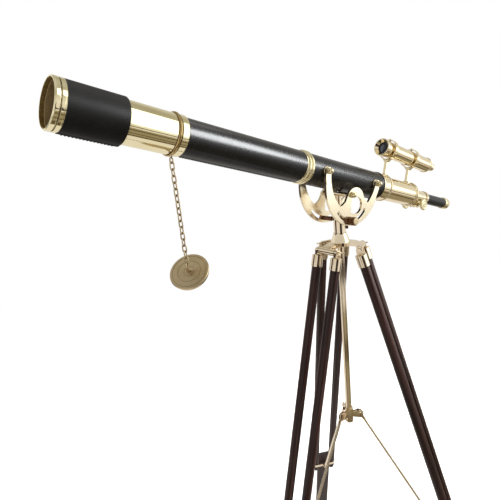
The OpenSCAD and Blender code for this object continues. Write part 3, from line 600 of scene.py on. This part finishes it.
def build_rear():
    start, end, radius = BARREL.span("rear_collar")
    tube_start, tube_end, tube = BARREL.span("rear_tube")
    main = BARREL.span("main_tube")[2]
    turned("rear_collar_turned", BARREL,
           [(start, main, 0.1), (start, radius - 1.7, 0.5), (start + 2.2, radius - 1.2, 0.4),
            (end - 8.5, radius - 1.2, 0.2), (end - 8.0, radius - 1.9, 0.2), (end - 6.4, radius - 1.9, 0.2),
            (end - 6.0, radius - 1.3, 0.2)] + bead(end - 3.2, radius - 1.7, 1.9, 12)
           + [(end, radius - 1.9, 0.3), (end, tube), (end - 3, tube, 0), (end - 3, main, 0)],
           "rear_collar", 192, REAR_BRASS)
    turned("rear_tube_turned", BARREL,
           [(tube_start, tube - 1.4), (tube_start, tube), (tube_end, tube), (tube_end, tube - 1.4)],
           "rear_tube", 192, REAR_BRASS)
    start, end, radius = BARREL.span("rear_flange")
    neck = 15
    turned("rear_flange_turned", BARREL,
           [(start, tube, 0.1), (start, tube + 0.3, 0.3)] + bead(start + 3.6, tube + 0.2, 1.6, 10)
           + bead(start + 9.4, tube + 0.2, 1.8, 10) + [(end - 1.4, tube - 0.2, 0.4), (end, tube - 1.6, 0.6),
           (end, neck, 0.2), (start + 6, neck, 0), (start + 6, tube, 0)],
           "rear_flange", 192, REAR_BRASS)


def build_focuser():
    skin("focuser_body", BARREL, 0.35, REAR_BRASS)
    skin("focus_pinion", joint_line("focus_knob_turn"), 0.1)
    skin("focus_rack", BARREL, 0.1)
    skin("draw_tube", BARREL, 0.35)
    axle = joint_line("focus_knob_turn")
    _, high, radius = axle.span("focus_knobs")
    knurl = 60
    for side in (-1, 1):
        def grip(station, angle, side=side):
            edge = min(1.0, max(0.0, (abs(station) - 21.2) / 0.5), max(0.0, (25.6 - abs(station)) / 0.5))
            return -0.35 * edge * (0.5 - 0.5 * math.cos(knurl * angle))
        outline = [(12, 2.05), (12, 4.5), (20.4, 4.5), (20.6, radius - 1.6, 0.6), (21.4, radius),
                   (25.4, radius), (high, radius - 1.8, 0.5), (high, radius - 3.2),
                   (high - 0.5, radius - 3.6),
                   (high - 0.5, 5), (high, 4.4), (high, 2.05)]
        turned(f"focus_knob_{'left' if side < 0 else 'right'}", axle,
               [(side * point[0],) + point[1:] for point in outline], "focus_knobs", knurl * 6, relief=grip,
               pitch=2, rounding=0.25)
    skin("eyepiece", BARREL, 0.4)
    skin("eyepiece_lenses", BARREL, 0)


def build_finder():
    mouth, rear, ring = FINDER.span("finder_tube")
    front, back, radius = FINDER.span("finder_objective")
    tube = radius_at("finder_tube", mouth + 7.4, line=FINDER)
    seat = radius + 0.02
    neck = 6.55
    turned("finder_tube_turned", FINDER,
           [(mouth, ring - 1.1, 0.4), (mouth + 0.8, ring, 0.6), (mouth + 6, ring, 0.5),
            (mouth + 7.4, tube, 0.3), (rear - 5, tube, 0)] + bead(rear - 2.4, tube, 1.4)
           + [(rear, tube - 0.6, 0.3), (rear, neck, 0.1), (rear - 6, neck, 0), (rear - 6, tube - 1.8, 0),
              (back + 2, tube - 1.8, 0), (back + 2, seat, 0), (front - 1, seat, 0.4),
              (mouth, ring - 1.9, 0.3)],
           "finder_tube", 144, REAR_BRASS)
    dome = [(front + 1.2 * (k / 8) ** 2, radius * k / 8, 0) for k in range(9)]
    turned("finder_objective_turned", FINDER, dome + [(back, radius, 0.1), (back, 0, 0)],
           "finder_objective", 96)
    outer = radius - 0.05
    stop = back + 60
    turned("finder_lining", FINDER,
           [(back + 0.1, outer), (stop, outer), (stop, 4), (stop - 1, 4), (stop - 1, outer - 0.5),
            (back + 0.1, outer - 0.5)],
           "finder_objective", 96, LINING, stands=False, rounding=0)
    skin("finder_eyepiece", FINDER, 0.3, REAR_BRASS)
    skin("finder_eye_lens", FINDER, 0)
    skin("finder_brackets", FINDER, 0.6, REAR_BRASS)
    skin("bracket_screws", FINDER, 0.35, REAR_BRASS)


def build_yoke():
    skin("yoke_plates", BARREL, 1.0, PLATE)
    for node, bevel in (("yoke_studs", 0.4), ("yoke_nuts", 0.6), ("pivot_bolt", 0.3)):
        skin(node, BARREL, bevel, MATERIALS["polished_brass"])


# ---------- stem, head and legs ----------
def build_stand():
    skin("stem", POST, 0.6, CHAMPAGNE)
    skin("clamp_rod", joint_line("clamp_knob_turn"), 0.4)
    clamp = joint_line("clamp_knob_turn")
    low, high, radius = clamp.span("clamp_knob")
    teeth = 24

    def knurl(station, angle):
        inside = min(1.0, max(0.0, (station - low - 2.0) / 0.5), max(0.0, (high - 1.6 - station) / 0.5))
        return -0.9 * inside * (0.5 + 0.5 * math.cos(teeth * angle)) ** 2

    turned("clamp_knob_turned", clamp,
           [(low, 3.08), (low, radius - 1.6, 0.3), (low + 1.6, radius - 1.6, 0.2), (low + 2.0, radius, 0.4),
            (high - 1.6, radius, 0.5), (high - 1.3, radius - 1.0, 0.3), (high - 1.3, 3.08)],
           "clamp_knob", teeth * 12, relief=knurl, pitch=1.0)
    turned("clamp_knob_face", clamp,
           [(high - 1.6, 0), (high - 1.6, radius - 1.1, 0.1), (high - 0.5, radius - 1.1, 0.5),
            (high, radius - 2.4, 0.8), (high, 0, 0)],
           "clamp_knob", 96, material=MATERIALS["satin_brass"], stands=False)
    skin("azimuth_screw", joint_line("azimuth_screw_turn"), 0.3)
    skin("tripod_head", POST, 1.1, CHAMPAGNE)
    skin("leg_pivot_bolts", POST, 0.4, CHAMPAGNE)
    skin("centre_tube", POST, 0.5, CHAMPAGNE)
    skin("spreader_hub", POST, 0.5, CHAMPAGNE)
    skin("hub_screw", joint_line("hub_screw_turn"), 0.3)


def build_leg(k):
    line = leg_line(k)
    skin(f"leg_{k}_rods", line, 1.0)
    skin(f"leg_{k}_fittings", line, 0.5, CHAMPAGNE)
    skin(f"leg_{k}_board", line, 1.2)
    skin(f"leg_{k}_foot", line, 0.8, CHAMPAGNE)
    skin(f"leg_{k}_stay", POST, 0.3, CHAMPAGNE)
    skin(f"leg_{k}_screw", line, 0.4, CHAMPAGNE)


def build_chain():
    skin("chain_ring", POST, 0)
    skin("cap_chain", POST, 0)
    skin("lens_cap", joint_line("cap_turn"), 0.25)


build_hood()
build_front()
build_middle()
build_rear()
build_focuser()
build_finder()
build_yoke()
build_stand()
for leg in LEGS:
    build_leg(leg)
build_chain()


# ---------- floor, light and camera ----------
def build_floor():
    """A pale floor that fades into the pale surroundings far from the object."""
    s = Shader("pale_floor")
    where = s.add("ShaderNodeTexCoord", {}, "Object")
    distance = s.add("ShaderNodeVectorMath", {0: where}, "Value", operation="LENGTH")
    grain = s.noise(where, 60, 3)
    tint = s.mix(grain, rgb(0.80, 0.795, 0.785), rgb(0.83, 0.825, 0.815))
    matt = s.add("ShaderNodeBsdfPrincipled", {"Base Color": tint, "Roughness": 0.85})
    glow = s.add("ShaderNodeEmission", {"Color": rgb(1.0, 1.0, 1.0), "Strength": 1.0})
    far = s.ramp(distance, 1.2, 4.5)
    pale = s.add("ShaderNodeMixShader", {0: far, 1: matt, 2: glow})
    warm = s.add("ShaderNodeEmission", {"Color": rgb(0.80, 0.755, 0.71), "Strength": 1.0})
    reflected = s.add("ShaderNodeLightPath", {}, "Is Glossy Ray")
    s.add_output(s.add("ShaderNodeMixShader", {0: reflected, 1: pale, 2: warm}))
    mesh = bpy.data.meshes.new("floor")
    reach, steps = 40.0, 64
    rim = [(reach * math.cos(2 * math.pi * k / steps), reach * math.sin(2 * math.pi * k / steps), 0)
           for k in range(steps)]
    mesh.from_pydata(rim, [], [tuple(range(steps))])
    mesh.materials.append(s.material)
    floor = bpy.data.objects.new("floor", mesh)
    bpy.context.scene.collection.objects.link(floor)


def flag_material(name, colour):
    s = Shader(name)
    clouds = s.noise(s.place(), 2.0, 3)
    dimmer = tuple(channel * 0.75 for channel in colour)
    s.add_output(s.add("ShaderNodeEmission", {"Color": s.mix(clouds, colour, dimmer)}))
    return s.material


def add_flag(name, verts, faces, colour):
    """A studio flag or screen: only reflections see it."""
    mesh = bpy.data.meshes.new(name)
    mesh.from_pydata(verts, [], faces)
    mesh.materials.append(flag_material(name, colour))
    flag = bpy.data.objects.new(name, mesh)
    bpy.context.scene.collection.objects.link(flag)
    flag.visible_camera = flag.visible_diffuse = flag.visible_shadow = False
    flag.visible_transmission = False


def standing_flag(name, azimuth, width, bottom, top, colour, distance=3.2):
    """A curved upright screen, seen from the object's middle between two azimuths."""
    turns = [math.radians(azimuth + width * (k / 8 - 0.5)) for k in range(9)]
    verts = [(distance * math.cos(t), distance * math.sin(t), z) for t in turns for z in (bottom, top)]
    faces = [(2 * k, 2 * k + 2, 2 * k + 3, 2 * k + 1) for k in range(8)]
    add_flag(name, verts, faces, colour)


def striped_mat(name, azimuth, width, tones, height=0.02):
    """Dark and pale arcs on the floor; tones gives (distance, colour) from near to far."""
    turns = [math.radians(azimuth + width * (k / 24 - 0.5)) for k in range(25)]
    for i in range(len(tones) - 1):
        (near, colour), (far, _) = tones[i], tones[i + 1]
        verts = [(r * math.cos(t), r * math.sin(t), height) for t in turns for r in (near, far)]
        faces = [(2 * k, 2 * k + 2, 2 * k + 3, 2 * k + 1) for k in range(24)]
        if colour is not None:
            add_flag(f"{name}_{i}", verts, faces, colour)


def dull_pieces():
    """The collection of every mesh piece whose first material isn't brass, the floor included."""
    name = "dull_pieces"
    if name in bpy.data.collections:
        return bpy.data.collections[name]
    group = bpy.data.collections.new(name)
    for piece in bpy.context.scene.objects:
        if piece.type == "MESH" and piece.data.materials and "brass" not in piece.data.materials[0].name:
            group.objects.link(piece)
    return group


def add_softbox(name, azimuth, elevation, distance, size, power, colour, target=(0, 0, 1.25)):
    """A lamp for the leather, wood and floor; the brass reflects the screens instead."""
    light = bpy.data.lights.new(name, "AREA")
    light.shape = "RECTANGLE"
    light.size, light.size_y = size
    light.energy = power
    light.color = colour
    lamp = bpy.data.objects.new(name, light)
    bpy.context.scene.collection.objects.link(lamp)
    a, e = math.radians(azimuth), math.radians(elevation)
    away = Vector((math.cos(a) * math.cos(e), math.sin(a) * math.cos(e), math.sin(e)))
    lamp.location = Vector(target) + away * distance
    lamp.rotation_mode = "QUATERNION"
    lamp.rotation_quaternion = away.to_track_quat("Z", "Y")
    lamp.visible_camera = False
    lamp.light_linking.receiver_collection = dull_pieces()


def build_world():
    """Pale surroundings: plain for the camera, with a soft dark sky band for the brass to reflect."""
    world = bpy.data.worlds.new("studio")
    bpy.context.scene.world = world
    world.use_nodes = True
    tree = world.node_tree
    tree.nodes.clear()
    output = tree.nodes.new("ShaderNodeOutputWorld")
    plain = tree.nodes.new("ShaderNodeBackground")
    plain.inputs["Color"].default_value = rgb(1.0, 1.0, 1.0)
    plain.inputs["Strength"].default_value = 1.0
    sky = tree.nodes.new("ShaderNodeBackground")
    ramp = tree.nodes.new("ShaderNodeValToRGB")
    where = tree.nodes.new("ShaderNodeTexCoord")
    split = tree.nodes.new("ShaderNodeSeparateXYZ")
    tree.links.new(where.outputs["Generated"], split.inputs[0])
    tree.links.new(split.outputs["Z"], ramp.inputs["Fac"])
    tree.links.new(ramp.outputs["Color"], sky.inputs["Color"])
    stops = ((0.0, rgb(0.82, 0.80, 0.77)), (0.25, rgb(0.72, 0.70, 0.65)), (0.6, rgb(0.56, 0.53, 0.46)),
             (0.72, rgb(0.4, 0.37, 0.3)), (1.0, rgb(0.62, 0.61, 0.58)))
    while len(ramp.color_ramp.elements) < len(stops):
        ramp.color_ramp.elements.new(0.5)
    for element, (position, colour) in zip(ramp.color_ramp.elements, stops):
        element.position = position
        element.color = colour
    path = tree.nodes.new("ShaderNodeLightPath")
    mix = tree.nodes.new("ShaderNodeMixShader")
    tree.links.new(path.outputs["Is Glossy Ray"], mix.inputs[0])
    tree.links.new(plain.outputs[0], mix.inputs[1])
    tree.links.new(sky.outputs[0], mix.inputs[2])
    tree.links.new(mix.outputs[0], output.inputs["Surface"])


def build_camera():
    """The photograph's viewpoint: left of the telescope's middle, at the height of its hood."""
    yaw, pitch, roll = (math.radians(a) for a in (38.02, -15.69, -6.17))
    ahead = Vector((math.sin(yaw) * math.cos(pitch), math.cos(yaw) * math.cos(pitch), math.sin(pitch)))
    level = Vector((math.cos(yaw), -math.sin(yaw), 0))
    above = level.cross(ahead)
    right = math.cos(roll) * level + math.sin(roll) * above
    top = math.cos(roll) * above - math.sin(roll) * level
    data = bpy.data.cameras.new("camera")
    data.sensor_width = 36
    data.lens = 32.12
    data.clip_start = 0.01
    camera = bpy.data.objects.new("camera", data)
    bpy.context.scene.collection.objects.link(camera)
    camera.matrix_world = Matrix((right, top, -ahead)).transposed().to_4x4()
    camera.location = Vector((-0.6905, -0.5802, 1.5641))
    bpy.context.scene.camera = camera


build_floor()
build_world()
BROWN_BLACK = rgb(0.05, 0.035, 0.028)
OLIVE_DARK = rgb(0.125, 0.09, 0.05)
OLIVE_MID = rgb(0.36, 0.31, 0.21)
standing_flag("flag_behind_camera", -116, 42, 0.0, 1.9, BROWN_BLACK)
standing_flag("flag_left", 142, 34, 0.0, 1.9, BROWN_BLACK)
striped_mat("mat", -90, 200, ((0.62, OLIVE_DARK), (0.82, OLIVE_MID), (1.05, OLIVE_DARK), (1.2, OLIVE_MID),
                              (1.75, OLIVE_DARK), (2.05, OLIVE_MID), (2.6, None), (3.3, OLIVE_DARK),
                              (3.9, None)))
WINDOW_WHITE = rgb(2.2, 2.25, 2.2)
PANEL_WHITE = rgb(1.02, 1.0, 0.93)
standing_flag("window_screen", -50, 52, 0.85, 5.6, WINDOW_WHITE)
standing_flag("window_panel", -50, 52, 0.3, 0.85, PANEL_WHITE)
standing_flag("back_screen", 122, 30, 1.5, 3.4, PANEL_WHITE)
add_softbox("window", -50, 22, 3.0, (1.5, 1.4), 230, (0.96, 0.99, 1.0))
add_softbox("ceiling", -20, 75, 2.6, (2.6, 2.6), 40, (1.0, 0.99, 0.97))
add_softbox("back_window", 125, 25, 3.2, (1.6, 1.8), 50, (1.0, 0.99, 0.97))
build_camera()
bpy.context.scene.view_settings.view_transform = "Standard"
